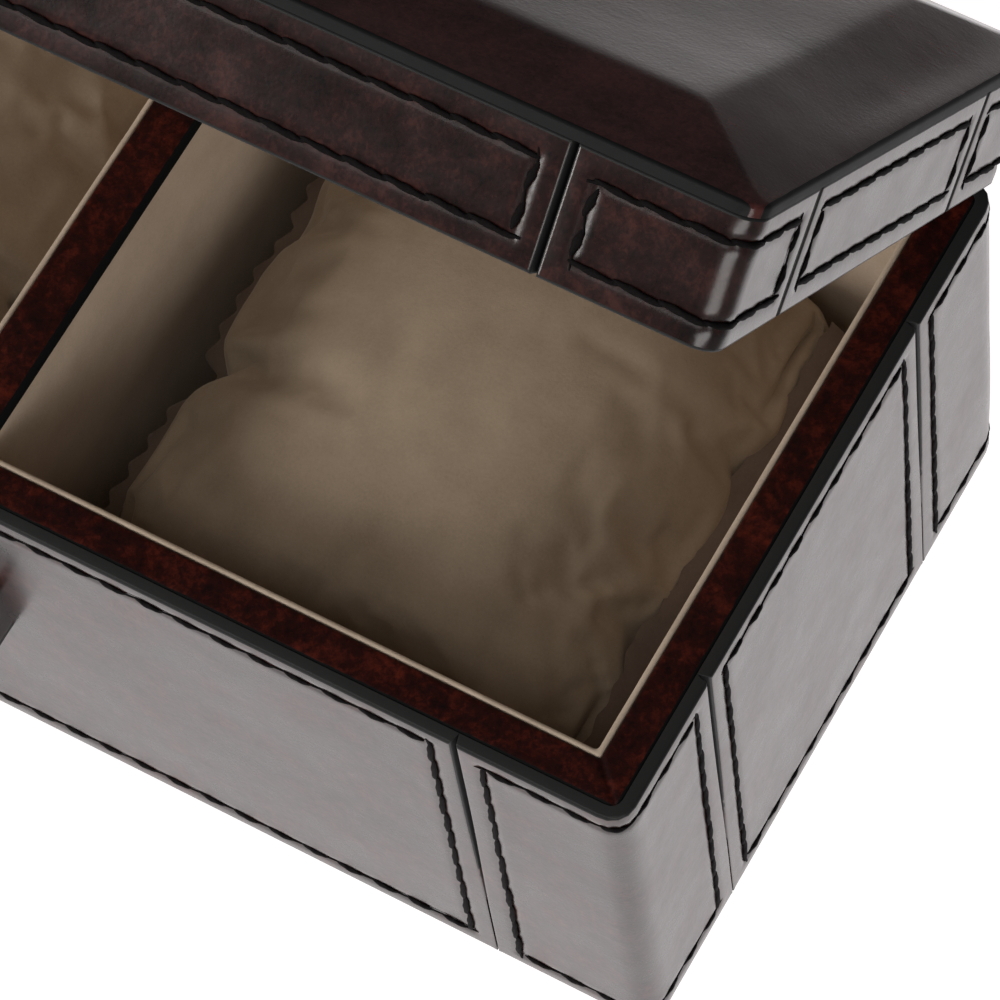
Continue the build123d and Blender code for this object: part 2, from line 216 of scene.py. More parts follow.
def loft(rings, wrap=False):
    """Points and faces of a closed form through rings of points; open ends are capped."""
    count, size = rings.shape[:2]
    faces = list(grid_faces(count, size, wrap_rows=wrap, wrap_columns=True))
    if not wrap:
        faces.append(list(range(size)))
        faces.append([(count - 1) * size + k for k in reversed(range(size))])
    return rings.reshape(-1, 3), faces


def shell(outer, inner):
    """Points and faces of the closed slab between two grids of the same size."""
    rows, columns = outer.shape[:2]
    size = rows * columns
    index = np.arange(size).reshape(rows, columns)
    faces = list(grid_faces(rows, columns)) + list(grid_faces(rows, columns)[:, ::-1] + size)
    border = np.concatenate([index[0, :-1], index[:-1, -1], index[-1, :0:-1], index[:0:-1, 0]])
    after = np.roll(border, -1)
    faces += list(np.stack([after, border, border + size, after + size], axis=-1))
    return np.concatenate([outer.reshape(-1, 3), inner.reshape(-1, 3)]), faces


# ---------------------------------------------------------------- the outline of the box


class Outline:
    """A rectangle with rounded corners, measured along its length from the middle of its front."""

    def __init__(self, half_x, half_y, radius):
        self.half_x, self.half_y, self.radius = half_x, half_y, radius
        run_x, run_y, arc = half_x - radius, half_y - radius, math.pi / 2 * radius
        self.starts = np.cumsum([0, run_x, arc, 2 * run_y, arc, 2 * run_x, arc, 2 * run_y, arc, run_x])
        self.length = self.starts[-1]

    def along(self, side, offset):
        """The distance along the outline of the point of a side at offset in x or y."""
        run_x, run_y = self.half_x - self.radius, self.half_y - self.radius
        if side == "front":
            return offset % self.length
        if side == "right":
            return self.starts[2] + run_y + offset
        if side == "back":
            return self.starts[4] + run_x - offset
        return self.starts[6] + run_y - offset

    def at(self, distance):
        """Points (x, y) and outward normals at distances along the outline."""
        s = np.mod(distance, self.length)
        part = np.clip(np.searchsorted(self.starts, s, side="right") - 1, 0, 8)
        local = s - self.starts[part]
        run_x, run_y = self.half_x - self.radius, self.half_y - self.radius
        centre = np.array([[0, -run_y], [run_x, -run_y], [run_x, 0], [run_x, run_y], [0, run_y],
                           [-run_x, run_y], [-run_x, 0], [-run_x, -run_y], [0, -run_y]])[part]
        quarter = part // 2
        turn = np.where(part % 2 == 1, local / self.radius, 0) + quarter * math.pi / 2 - math.pi / 2
        normal = np.stack([np.cos(turn), np.sin(turn)], axis=-1)
        heading = np.stack([-normal[..., 1], normal[..., 0]], axis=-1)
        back_step = np.where(part == 0, 0, np.where(part == 8, run_x, np.where(part == 4, run_x, run_y)))
        straight = np.where(part % 2 == 0, local - back_step, 0)
        return centre + normal * self.radius + heading * straight[..., None], normal

    def wrap(self, distance, height, proud=0.0):
        """Points at a distance along, a height up and a little proud of the outline."""
        flat, normal = self.at(distance)
        flat = flat + normal * np.asarray(proud)[..., None]
        return np.concatenate([flat, np.broadcast_to(height, flat.shape[:-1])[..., None]], axis=-1)


box_outline = Outline(half_width, half_depth, corner_radius)
inner_outline = Outline(skin_x, skin_y, corner_radius - leather)

# ---------------------------------------------------------------- materials


class Nodes:
    """A procedural material, with short ways to add and join its nodes."""

    def __init__(self, name, **shader):
        self.material = bpy.data.materials.new(name)
        self.material.use_nodes = True
        self.tree = self.material.node_tree
        self.tree.nodes.clear()
        self.shader = self.add("ShaderNodeBsdfPrincipled")
        for socket, value in shader.items():
            self.shader.inputs[socket.replace("_", " ")].default_value = value
        output = self.add("ShaderNodeOutputMaterial")
        self.tree.links.new(self.shader.outputs["BSDF"], output.inputs["Surface"])
        self.place = self.add("ShaderNodeTexCoord").outputs["Object"]

    def add(self, kind, **settings):
        node = self.tree.nodes.new(kind)
        for key, value in settings.items():
            setattr(node, key, value)
        return node

    def feed(self, value, socket):
        """A plain value or another node's output goes into a socket."""
        if isinstance(value, bpy.types.NodeSocket):
            self.tree.links.new(value, socket)
        else:
            socket.default_value = value

    def scaled(self, mapping, kind, size, stretch, **settings):
        """A texture whose features are about size millimetres across, stretched along each axis."""
        mapping.inputs["Scale"].default_value = [1 / (size * MM * k) for k in stretch]
        self.feed(self.place, mapping.inputs["Vector"])
        texture = self.add(kind, **settings)
        self.feed(mapping.outputs["Vector"], texture.inputs["Vector"])
        texture.inputs["Scale"].default_value = 1.0
        return texture

    def noise(self, size, detail=3.0, roughness=0.55, distortion=0.0, stretch=(1, 1, 1)):
        """Noise whose features are about size millimetres across."""
        texture = self.scaled(self.add("ShaderNodeMapping"), "ShaderNodeTexNoise", size, stretch)
        texture.inputs["Detail"].default_value = detail
        texture.inputs["Roughness"].default_value = roughness
        texture.inputs["Distortion"].default_value = distortion
        return texture.outputs["Fac"]

    def cells(self, size, feature):
        """Cells about size millimetres across, as the distance to their centres or edges."""
        mapping = self.add("ShaderNodeMapping")
        texture = self.scaled(mapping, "ShaderNodeTexVoronoi", size, (1, 1, 1), feature=feature)
        return texture.outputs["Distance"]

    def ramp(self, value, *stops):
        """A colour ramp; each stop is (position, red, green, blue) or (position, grey)."""
        node = self.add("ShaderNodeValToRGB")
        elements = node.color_ramp.elements
        for _ in range(len(stops) - 2):
            elements.new(0.5)
        for element, stop in zip(elements, stops):
            element.position = stop[0]
            colour = stop[1:] if len(stop) == 4 else (stop[1],) * 3
            element.color = (*colour, 1)
        self.feed(value, node.inputs["Fac"])
        return node.outputs["Color"]

    def mix(self, share, first, second, kind="MIX"):
        node = self.add("ShaderNodeMix", data_type="RGBA", blend_type=kind)
        self.feed(share, node.inputs["Factor"])
        for value, socket in ((first, node.inputs["A"]), (second, node.inputs["B"])):
            self.feed((*value, 1) if isinstance(value, tuple) else value, self.colour_socket(node, socket))
        return node.outputs[2]

    @staticmethod
    def colour_socket(node, socket):
        """The colour input that shares its name with the mix node's number and vector inputs."""
        matches = [s for s in node.inputs if s.name == socket.name and s.type == "RGBA"]
        return matches[0]

    def sums(self, operation, first, second=0.0, third=0.0):
        node = self.add("ShaderNodeMath", operation=operation)
        for value, socket in zip((first, second, third), node.inputs):
            self.feed(value, socket)
        return node.outputs[0]

    def attribute(self, name):
        return self.add("ShaderNodeAttribute", attribute_name=name).outputs["Fac"]

    def bump(self, height, depth, below=None):
        """Bump depth millimetres deep, laid over another bump."""
        node = self.add("ShaderNodeBump")
        node.inputs["Strength"].default_value = 1.0
        node.inputs["Distance"].default_value = depth * MM
        self.feed(height, node.inputs["Height"])
        if below is not None:
            self.feed(below, node.inputs["Normal"])
        return node.outputs["Normal"]

    def finish(self, colour, roughness, normal):
        self.feed(colour, self.shader.inputs["Base Color"])
        self.feed(roughness, self.shader.inputs["Roughness"])
        self.feed(normal, self.shader.inputs["Normal"])
        return self.material


EDGE_PAINT = (0.0035, 0.0042, 0.0042)


def painted_leather(name, dark, mid, light, gloss, seed_size, coat=0.2, specular=0.5):
    """Oiled leather: mottled colour, fine grain, faint creases and scratches, black painted edges."""
    n = Nodes(name, IOR=1.5, Coat_Weight=coat, Coat_Roughness=0.18, Coat_IOR=1.5, Specular_IOR_Level=specular)
    cloud = n.noise(seed_size, detail=5, roughness=0.62, distortion=0.4)
    fleck = n.noise(1.3, detail=4, roughness=0.7)
    fibres = n.noise(1.0, detail=4, roughness=0.65, distortion=1.2, stretch=(1, 1, 3.5))
    tone = n.sums("MULTIPLY_ADD", fleck, 0.25, n.sums("MULTIPLY", cloud, 0.45))
    tone = n.sums("MULTIPLY_ADD", fibres, 0.30, tone)
    hide = n.ramp(tone, (0.38, *dark), (0.50, *mid), (0.64, *light))
    grain = n.cells(0.55, "SMOOTH_F1")
    pores = n.ramp(grain, (0.15, 0.75), (0.45, 1.0))
    hide = n.mix(0.5, hide, pores, "MULTIPLY")
    brush = n.sums("MULTIPLY_ADD", n.noise(2.2, detail=3), 0.5, n.attribute("paint"))
    painted = n.ramp(brush, (0.66, 0.0), (0.80, 1.0))
    colour = n.mix(painted, hide, EDGE_PAINT)
    wear = n.noise(9.0, detail=6, roughness=0.7)
    roughness = n.sums("MULTIPLY_ADD", wear, 0.22, gloss - 0.06)
    roughness = n.sums("MULTIPLY_ADD", n.ramp(painted, (0.0, 0.0), (1.0, 1.0)), 0.50, roughness)
    scratches = n.noise(1.1, detail=2, stretch=(9, 9, 0.7))
    creases = n.noise(3.2, detail=5, roughness=0.65)
    normal = n.bump(creases, 0.02)
    normal = n.bump(scratches, 0.006, normal)
    normal = n.bump(grain, 0.012, normal)
    return n.finish(colour, roughness, normal)


def suede_material(name, dark, light, nap=0.05, sheen=0.35):
    """Brushed suede: a soft nap in clouds, with short fibres."""
    n = Nodes(name, Roughness=0.95, Sheen_Weight=sheen, Sheen_Roughness=0.45, Specular_IOR_Level=0.12)
    n.shader.inputs["Sheen Tint"].default_value = (0.9, 0.8, 0.66, 1)
    brushed = n.noise(11.0, detail=4, roughness=0.6)
    fibres = n.noise(0.45, detail=4, roughness=0.75)
    tone = n.sums("MULTIPLY_ADD", fibres, 0.4, n.sums("MULTIPLY", brushed, 0.6))
    colour = n.ramp(tone, (0.32, *dark), (0.68, *light))
    normal = n.bump(n.noise(1.6, detail=3), nap)
    normal = n.bump(fibres, nap * 0.7, normal)
    return n.finish(colour, 0.95, normal)


def thread_material():
    """Waxed black-brown thread with the sheen of its wax."""
    n = Nodes("waxed_thread", IOR=1.4, Specular_IOR_Level=0.12)
    fuzz = n.noise(0.35, detail=4, roughness=0.7)
    colour = n.ramp(fuzz, (0.3, 0.002, 0.0018, 0.0018), (0.75, 0.009, 0.0072, 0.007))
    normal = n.bump(fuzz, 0.05)
    return n.finish(colour, n.sums("MULTIPLY_ADD", fuzz, 0.3, 0.62), normal)


def board_material():
    """Fibreboard: pale brown, with fine flecks."""
    n = Nodes("carcase_board", Specular_IOR_Level=0.3)
    flecks = n.noise(0.8, detail=6, roughness=0.8, stretch=(3, 1, 1))
    colour = n.ramp(flecks, (0.3, 0.16, 0.09, 0.045), (0.7, 0.34, 0.22, 0.12))
    return n.finish(colour, 0.85, n.bump(flecks, 0.05))


def metal_material(name, dark, light, roughness):
    """Brushed metal, a little tarnished."""
    n = Nodes(name, Metallic=1.0)
    tarnish = n.noise(4.0, detail=6, roughness=0.7)
    brushed = n.noise(0.25, detail=3, stretch=(14, 1, 1))
    colour = n.ramp(tarnish, (0.35, *dark), (0.65, *light))
    normal = n.bump(brushed, 0.006)
    return n.finish(colour, n.sums("MULTIPLY_ADD", tarnish, 0.25, roughness), normal)


outer_leather = painted_leather(
    "outer_leather", (0.004, 0.0014, 0.0012), (0.018, 0.0055, 0.0045), (0.060, 0.0190, 0.0150), 0.24, 9.0)
# The lid's top gets a lighter copy of the outer leather: painted light, standing in for the room that its
# flat and bevels reflect.
top_leather = painted_leather(
    "top_leather", (0.030, 0.0080, 0.0072), (0.070, 0.0215, 0.0200), (0.115, 0.0390, 0.0340),
    0.15, 14.0, 0.04, 0.30)
rim_leather = painted_leather(
    "rim_leather", (0.005, 0.0011, 0.001), (0.021, 0.0029, 0.0019), (0.084, 0.0115, 0.0055),
    0.42, 3.6, 0.0, 0.14)
strap_leather = painted_leather(
    "strap_leather", (0.005, 0.002, 0.0018), (0.012, 0.004, 0.0034), (0.024, 0.008, 0.006), 0.3, 8.0)
waxed_thread = thread_material()
lining_suede = suede_material("lining_suede", (0.41, 0.325, 0.247), (0.56, 0.455, 0.355))
# The pinked edges are the cover's own suede made darker: painted shade for the gap they droop into.
pinked_suede = suede_material(
    "pinked_suede", (0.13, 0.096, 0.078), (0.20, 0.152, 0.122), nap=0.03, sheen=0.15)
cushion_suede = suede_material("cushion_suede", (0.25, 0.192, 0.135), (0.36, 0.282, 0.203), nap=0.04)
underside_suede = suede_material("underside_suede", (0.03, 0.02, 0.015), (0.06, 0.042, 0.032))
carcase_board = board_material()
brass = metal_material("brass", (0.42, 0.27, 0.10), (0.66, 0.46, 0.20), 0.22)
steel = metal_material("steel", (0.30, 0.29, 0.28), (0.52, 0.51, 0.50), 0.25)

# ---------------------------------------------------------------- leather panels and their stitching


def panels_of(seam_x, seam_y):
    """Each panel of a wall or corner as (name, start, end) along the outline."""
    at = box_outline.along
    length = box_outline.length
    front_right, right_front = at("front", seam_x), at("right", -seam_y)
    right_back, back_right = at("right", seam_y), at("back", seam_x)
    back_left, left_back = at("back", -seam_x), at("left", seam_y)
    left_front, front_left = at("left", -seam_y), at("front", -seam_x)
    return [
        ("front", front_left - length, front_right),
        ("corner_front_right", front_right + seam_gap, right_front - seam_gap),
        ("right", right_front, right_back),
        ("corner_back_right", right_back + seam_gap, back_right - seam_gap),
        ("back", back_right, back_left),
        ("corner_back_left", back_left + seam_gap, left_back - seam_gap),
        ("left", left_back, left_front),
        ("corner_front_left", left_front + seam_gap, front_left - seam_gap),
    ]


def panel_surface(start, end, low, high, seed):
    """The outer surface of one leather panel: distances along, heights, how proud, edge paint.

    On a tall panel the upright seams close towards the bottom, where the hides were sewn tight.
    """
    left, right = start + stitch_from_seam, end - stitch_from_seam
    bottom, top = low + stitch_from_edge, high - stitch_from_edge
    edge_round = 0.55
    edges = (0.08, 0.2, 0.38, 0.6)
    coarse, fine = 1.6, 0.4
    along = stations(start, end, coarse, fine, (left, right))
    along = np.unique(np.concatenate([along, [start + e for e in edges], [end - e for e in edges]]))
    up = stations(low, high, coarse, fine, (bottom, top))
    up = np.unique(np.concatenate([up, [low + e for e in edges], [high - e for e in edges]]))
    s, z = np.meshgrid(along, up)
    place = box_outline.wrap(s, z)
    from_edge = np.minimum(np.minimum(s - start, end - s), np.minimum(z - low, high - z))
    upright = np.minimum(z - low, high - z)
    from_seam = np.minimum(s - start, end - s)
    if high - low > tall_panel:
        open_share = smooth_step(z, low + 0.2 * (high - low), low + 0.8 * (high - low))
    else:
        open_share = np.ones_like(z)
    rounded = np.clip(from_edge / edge_round, 0, 1)
    drop = edge_round * (1 - np.sqrt(1 - (1 - rounded) ** 2))
    drop = drop * np.where(from_seam < upright, 0.12 + 0.88 * open_share, 1)
    gape = seam_gape * open_share * hill(from_seam, 1.6)
    toward = np.where(s - start < end - s, 1, -1)
    backing = s - toward * 0.48 * seam_gap * (from_seam < 0.01)
    s = s + gape * toward
    outside_x = np.maximum(np.maximum(left - s, s - right), 0)
    outside_z = np.maximum(np.maximum(bottom - z, z - top), 0)
    to_line = np.where(
        (outside_x > 0) | (outside_z > 0),
        np.hypot(outside_x, outside_z),
        np.minimum(np.minimum(s - left, right - s), np.minimum(z - bottom, top - z)))
    furrow = 0.22 * hill(to_line, 0.75) - 0.05 * hill(to_line - 1.7, 0.9)
    swell = 0.08 * waves(place, 42.0, seed) + 0.012 * waves(place, 9.0, seed + 1)
    calm = smooth_step(from_edge, 0.0, 6.0)
    proud = -drop - furrow + swell * calm - panel_inset
    paint = 1.3 * (1 - smooth_step(upright, 0.25, 0.75))
    seam_paint = (0.25 + 0.85 * open_share) * (1 - smooth_step(from_seam, 0.1, 0.45))
    return s, backing, z, proud, np.maximum(paint, seam_paint)


def leather_panel(name, start, end, low, high, seed, body, replaced):
    """One hide of a wall or corner, with its inner face on the board."""
    s, backing, z, proud, paint = panel_surface(start, end, low, high, seed)
    outer = box_outline.wrap(s, z, proud)
    inner = box_outline.wrap(backing, z, np.full(s.shape, -leather))
    points, faces = shell(outer, inner)
    paint = np.concatenate([paint.ravel(), np.where(paint.ravel() > 0.5, 1.4, 0.0)])
    add_mesh(name, points, faces, body, outer_leather, paint, replaced)


def thread_run(start, end, fixed, upright, draw):
    """The stitches of one straight line as rows of (along, height) ends."""
    count = max(1, int(round(abs(end - start) / stitch_pitch)))
    marks = np.linspace(start, end, count + 1)
    slips = draw.uniform(-0.12, 0.12, count + 1)
    rows = []
    for first, second, slip in zip(marks[:-1], marks[1:], slips):
        if upright:
            rows.append((fixed + slip, first, fixed + slip, second))
        else:
            rows.append((first, fixed + slip, second, fixed + slip))
    return rows


def inside_gap(row, gaps):
    """Whether the middle of a stitch lies under a fitting."""
    middle = ((row[0] + row[2]) / 2, (row[1] + row[3]) / 2)
    return any(
        abs(middle[0] - along) < width / 2 and abs(middle[1] - height) < tall / 2
        for along, height, width, tall in gaps)


def thread_points(rows, draw, corded_upright):
    """Spindles of two twisted plies and the thin thread between them, in unrolled coordinates.

    Lines in one direction are pulled tight into a cord, and the others show each stitch by itself.
    """
    ring_count, sides = 13, 10
    t = np.linspace(0, 1, ring_count)[:, None]
    turn = np.linspace(0, 2 * math.pi, sides, endpoint=False)[None, :]
    bundles = []
    for s0, z0, s1, z1 in rows:
        length = math.hypot(s1 - s0, z1 - z0)
        direction = np.array([s1 - s0, z1 - z0]) / length
        across = np.array([-direction[1], direction[0]])
        corded = (abs(direction[1]) > 0.5) == corded_upright
        stout, lean, overlap, point, link = corded_stitch if corded else single_stitch
        size = thread_radius * draw.uniform(0.85, 1.10) * stout
        slant = stitch_slant * draw.uniform(0.75, 1.25) * lean
        twist = draw.uniform(0, 2 * math.pi)
        spindle = np.sin(math.pi * t) ** point
        ply = 1 + 0.13 * np.cos(2 * (turn - twist) - 2 * math.pi * 2.2 * t)
        radius = (0.10 + size * spindle) * ply
        run = (-overlap + (1 + 2 * overlap) * t) * length
        drift = slant * (1 - 2 * t)
        centre = np.array([s0, z0]) + run[..., None] * direction + drift[..., None] * across
        flat = centre + (1.15 * radius * np.cos(turn))[..., None] * across
        height = -0.20 + 0.10 * spindle + 0.7 * radius * np.sin(turn)
        bundles.append(np.concatenate([flat, height[..., None]], axis=-1))
        radius = link_radius * link * np.ones_like(t) * (1 + 0.1 * np.cos(2 * turn))
        run = (0.80 + 0.40 * t) * length
        centre = np.array([s0, z0]) + run[..., None] * direction - 0.7 * drift[..., None] * across
        flat = centre + (radius * np.cos(turn))[..., None] * across
        height = -0.21 + radius * np.sin(turn)
        bundles.append(np.concatenate([flat, height[..., None]], axis=-1))
    return np.array(bundles)


def sewn(name, rows, draw, body, replaced, corded_upright=True, proud=0.0):
    """A piece of thread that follows rows of stitches, proud of the box's outline."""
    bundles = thread_points(rows, draw, corded_upright)
    rings = box_outline.wrap(bundles[..., 0], bundles[..., 1], bundles[..., 2] + proud)
    points, faces = many_lofts(rings)
    add_mesh(name, points, faces, body, waxed_thread, None, replaced)


def stitching(name, panels, low, high, gaps, seed, body, replaced, corded_upright):
    """All the thread of the base or the lid: one frame of stitches around each panel."""
    draw = np.random.default_rng(seed)
    bottom, top = low + stitch_from_edge, high - stitch_from_edge
    rows = []
    for _, start, end in panels:
        left, right = start + stitch_from_seam, end - stitch_from_seam
        rows += thread_run(left, right, bottom, False, draw)
        rows += thread_run(right, left, top, False, draw)
        rows += thread_run(bottom, top, right, True, draw)
        rows += thread_run(top, bottom, left, True, draw)
    rows = [row for row in rows if not inside_gap(row, gaps)]
    sewn(name, rows, draw, body, replaced, corded_upright)


def many_lofts(forms):
    """Points and faces of many closed forms whose rings are alike."""
    count, rings, sides = forms.shape[:3]
    quads = loft(forms[0])[1]
    faces = []
    for index in range(count):
        shift = index * rings * sides
        faces += [[shift + corner for corner in face] for face in quads]
    return forms.reshape(-1, 3), faces


def gap_around(node, side, closed=False):
    """The (along, height, width, height) rectangle of the wall that a fitting covers."""
    low, high = extent(node, closed)
    middle, size = (low + high) / 2, high - low
    along = box_outline.along(side, middle[0])
    return along, middle[2], size[0] + 2 * fitting_margin, size[2] + 2 * fitting_margin


leaf_nodes = ["hinge_left_base_leaf", "hinge_right_base_leaf"]
lid_leaf_nodes = ["hinge_left_lid_leaf", "hinge_right_lid_leaf"]
base_panels = panels_of(base_seam_x, base_seam_y)
lid_panels = panels_of(lid_seam_x, lid_seam_y)
keeper_low, keeper_high = extent("keeper_loop")

base_gaps = [gap_around(node, "back") for node in leaf_nodes]
lid_gaps = [gap_around(node, "back", closed=True) for node in lid_leaf_nodes]
lid_gaps.append(gap_around("lid_tongue", "front", closed=True))

for body, panels, low, high, first_seed in (
        ("base", base_panels, 0.0, base_top, 40),
        ("lid", lid_panels, lid_low, band_top, 60)):
    for seed, (part, start, end) in enumerate(panels, first_seed):
        node = f"{body}_{part}" if part.startswith("corner") else f"{body}_{part}_leather"
        leather_panel(f"hide_{body}_{part}", start, end, low, high, seed, body, [node])

stitching("thread_base", base_panels, 0.0, base_top, base_gaps, 7, "base", ["base_stitching"], True)
stitching("thread_lid", lid_panels, lid_low, band_top, lid_gaps, 8, "lid", ["lid_stitching"], False)

# ---------------------------------------------------------------- rims, divider strip and linings


def band(outer, inner, profile):
    """Rings of a closed band between two outlines; profile is a loop of (share inward, height)."""
    marks = outer.starts[1:-1]
    s = stations(0, outer.length, 2.5, 0.3, marks, 1.8)[:-1]
    share_s = s / outer.length * inner.length
    for start_o, end_o, start_i, end_i in zip(outer.starts, outer.starts[1:], inner.starts, inner.starts[1:]):
        inside = (s >= start_o) & (s <= end_o)
        share_s[inside] = start_i + (s[inside] - start_o) / (end_o - start_o) * (end_i - start_i)
    flat_outer, _ = outer.at(s)
    flat_inner, _ = inner.at(share_s)
    shares = np.array([p[0] for p in profile])[None, :, None]
    heights = np.array([p[1] for p in profile])[None, :, None]
    flat = flat_outer[:, None] * (1 - shares) + flat_inner[:, None] * shares
    return np.concatenate([flat, np.broadcast_to(heights, flat.shape[:2] + (1,))], axis=-1)


def rim(name, face, back, body, replaced, seed):
    """The leather frame on top of the walls, one band with soft mitres at its corners."""
    toward = 1 if face > back else -1
    profile = [(0.0, back), (0.0, face - 0.25 * toward), (0.04, face - 0.06 * toward), (0.10, face)]
    profile += [(share, face) for share in (0.2, 0.32, 0.44, 0.56, 0.68, 0.8, 0.9)]
    profile += [(0.95, face - 0.08 * toward), (0.99, face - 0.28 * toward), (1.0, back)]
    rings = band(inner_outline, Outline(hollow_x, hollow_y, 0.5), profile)
    to_mitre = np.abs((skin_x - np.abs(rings[..., 0])) - (skin_y - np.abs(rings[..., 1]))) / math.sqrt(2)
    dent = 0.16 * hill(to_mitre, 0.5) + 0.05 * (1 + waves(rings, 14.0, seed)) / 2
    on_face = np.abs(rings[..., 2] - back) > 0.1
    rings[..., 2] -= toward * dent * on_face
    points, faces = loft(rings, wrap=True)
    across = np.minimum(skin_x - np.abs(points[:, 0]), skin_y - np.abs(points[:, 1]))
    paint = 0.9 * (1 - smooth_step(across, 0.1, 0.9))
    add_mesh(name, points, faces, body, rim_leather, paint, replaced)


rim("rim_base", base_top, base_top - rim_thickness, "base",
    [f"rim_leather_{side}" for side in ("front", "back", "left", "right")], 21)
rim("rim_lid", lid_low, lid_low + rim_thickness, "lid", ["lid_rim_leather"], 22)


def divider_strip():
    """The leather strip on the divider, its right edge rounded over and painted black."""
    low, high = extent("divider_leather_top")
    width = high[0] - low[0]
    top, bottom = high[2], low[2]
    profile = [(0.0, bottom), (0.0, top - 0.3), (0.12, top - 0.08), (0.4, top)]
    profile += [(share * width, top) for share in (0.15, 0.3, 0.45, 0.6, 0.72)]
    profile += [(share * width, top - drop) for share, drop in ((0.84, 0.07), (0.93, 0.25), (0.99, 0.6))]
    profile.append((width, bottom))
    y = np.linspace(low[1], high[1], 60)
    rings = np.empty((len(y), len(profile), 3))
    rings[..., 0] = low[0] + np.array([p[0] for p in profile])[None]
    rings[..., 1] = y[:, None]
    rings[..., 2] = np.array([p[1] for p in profile])[None]
    lifted = rings[..., 2] > top - 0.5
    rings[..., 2] -= 0.06 * (1 + waves(rings, 12.0, 31)) * lifted
    points, faces = loft(rings)
    paint = smooth_step(points[:, 0], high[0] - 1.35, high[0] - 0.65)
    add_mesh("strip_divider", points, faces, "base", rim_leather, paint,
             ["divider_leather_top"])


divider_strip()


def lining(node, body, low_cap=None):
    """A strip of suede around a bay or the lid, its lip soft and not quite straight.

    low_cap is (x, height): left of that x the strip stays below that height.
    """
    closed = body == "lid"
    low, high = extent(node, closed)
    centre = (low[0] + high[0]) / 2
    half_x, half_y = (high[0] - low[0]) / 2, (high[1] - low[1]) / 2
    bottom, top = low[2], high[2]
    outer, inner = Outline(half_x, half_y, 0.4), Outline(half_x - suede, half_y - suede, 0.6)
    lip, foot = (bottom, top) if closed else (top, bottom)
    toward = 1 if lip > foot else -1
    profile = [(0.02, foot), (0.02, lip - 0.45 * toward), (0.16, lip - 0.1 * toward), (0.4, lip)]
    profile += [(0.7, lip - 0.04 * toward), (0.93, lip - 0.25 * toward), (1.0, lip - 0.8 * toward)]
    shares = (0.06, 0.12, 0.2, 0.3, 0.4, 0.5, 0.6, 0.7, 0.8, 0.9, 1)
    profile += [(1.0, lip + (foot - lip) * share) for share in shares]
    rings = band(outer, inner, profile)
    rings[..., 0] += centre
    ragged = waves(rings, 5.0, 81) * 0.05 + waves(rings, 24.0, 82) * 0.05
    near_lip = hill(rings[..., 2] - lip, 0.6)
    rings[..., 2] -= toward * np.abs(ragged) * near_lip
    if low_cap is not None:
        capped = np.minimum(rings[..., 2], low_cap[1])
        rings[..., 2] = np.where(rings[..., 0] < low_cap[0], capped, rings[..., 2])
    points, faces = loft(rings, wrap=True)
    add_mesh(f"suede_{node}", points, faces, body, lining_suede, None, [node])


strip_low, strip_high = extent("divider_leather_top")
lining("lining_wall_left", "base")
lining("lining_wall_right", "base", (strip_high[0] + 0.01, strip_low[2] - 0.02))
lining("lid_lining_wall", "lid")


def suede_board(node, body, seed):
    """A sheet of suede glued to a board, lying a little unevenly."""
    closed = body == "lid"
    low, high = extent(node, closed)
    x = np.linspace(low[0], high[0], 80)
    y = np.linspace(low[1], high[1], 60)
    gx, gy = np.meshgrid(x, y)
    seen, hidden = (low[2], high[2]) if closed else (high[2], low[2])
    top = np.stack([gx, gy, np.full(gx.shape, seen)], axis=-1)
    back = np.stack([gx, gy, np.full(gx.shape, hidden)], axis=-1)
    top[..., 2] += (0.12 if closed else -0.12) * (1 + waves(top, 30.0, seed)) / 2
    points, faces = shell(top, back)
    add_mesh(f"suede_{node}", points, faces, body, lining_suede, None, [node])


suede_board("lid_ceiling_lining", "lid", 91)
suede_board("lining_floor_left", "base", 92)
suede_board("lining_floor_right", "base", 93)

# ---------------------------------------------------------------- lid top


def top_outline(inset, radius, per_side, per_corner):
    """A rounded rectangle inset from the box; each side starts and ends at a corner's middle."""
    half_x, half_y = half_width - inset, half_depth - inset
    points = []
    for quarter, (nx, ny) in enumerate(((0, -1), (1, 0), (0, 1), (-1, 0))):
        heading = np.array([-ny, nx], float)
        outward = np.array([nx, ny], float)
        run = (half_x if quarter % 2 == 0 else half_y) - radius
        reach = (half_y if quarter % 2 == 0 else half_x) - radius
        turns = np.linspace(-math.pi / 4, 0, per_corner)
        start = [outward * (reach + radius * math.cos(a)) - heading * run + heading * radius * math.sin(a)
                 for a in turns]
        sides = np.linspace(-run, run, per_side[quarter % 2] + 2)[1:-1]
        middle = [outward * (reach + radius) + heading * offset for offset in sides]
        end = [outward * (reach + radius * math.cos(a)) + heading * run - heading * radius * math.sin(a)
               for a in turns[:0:-1]]
        points += start + middle + end
    return np.array(points)


def inside_box(points):
    """How far each point lies inside the nearest side of the box."""
    return np.minimum(half_width - np.abs(points[:, 0]), half_depth - np.abs(points[:, 1]))


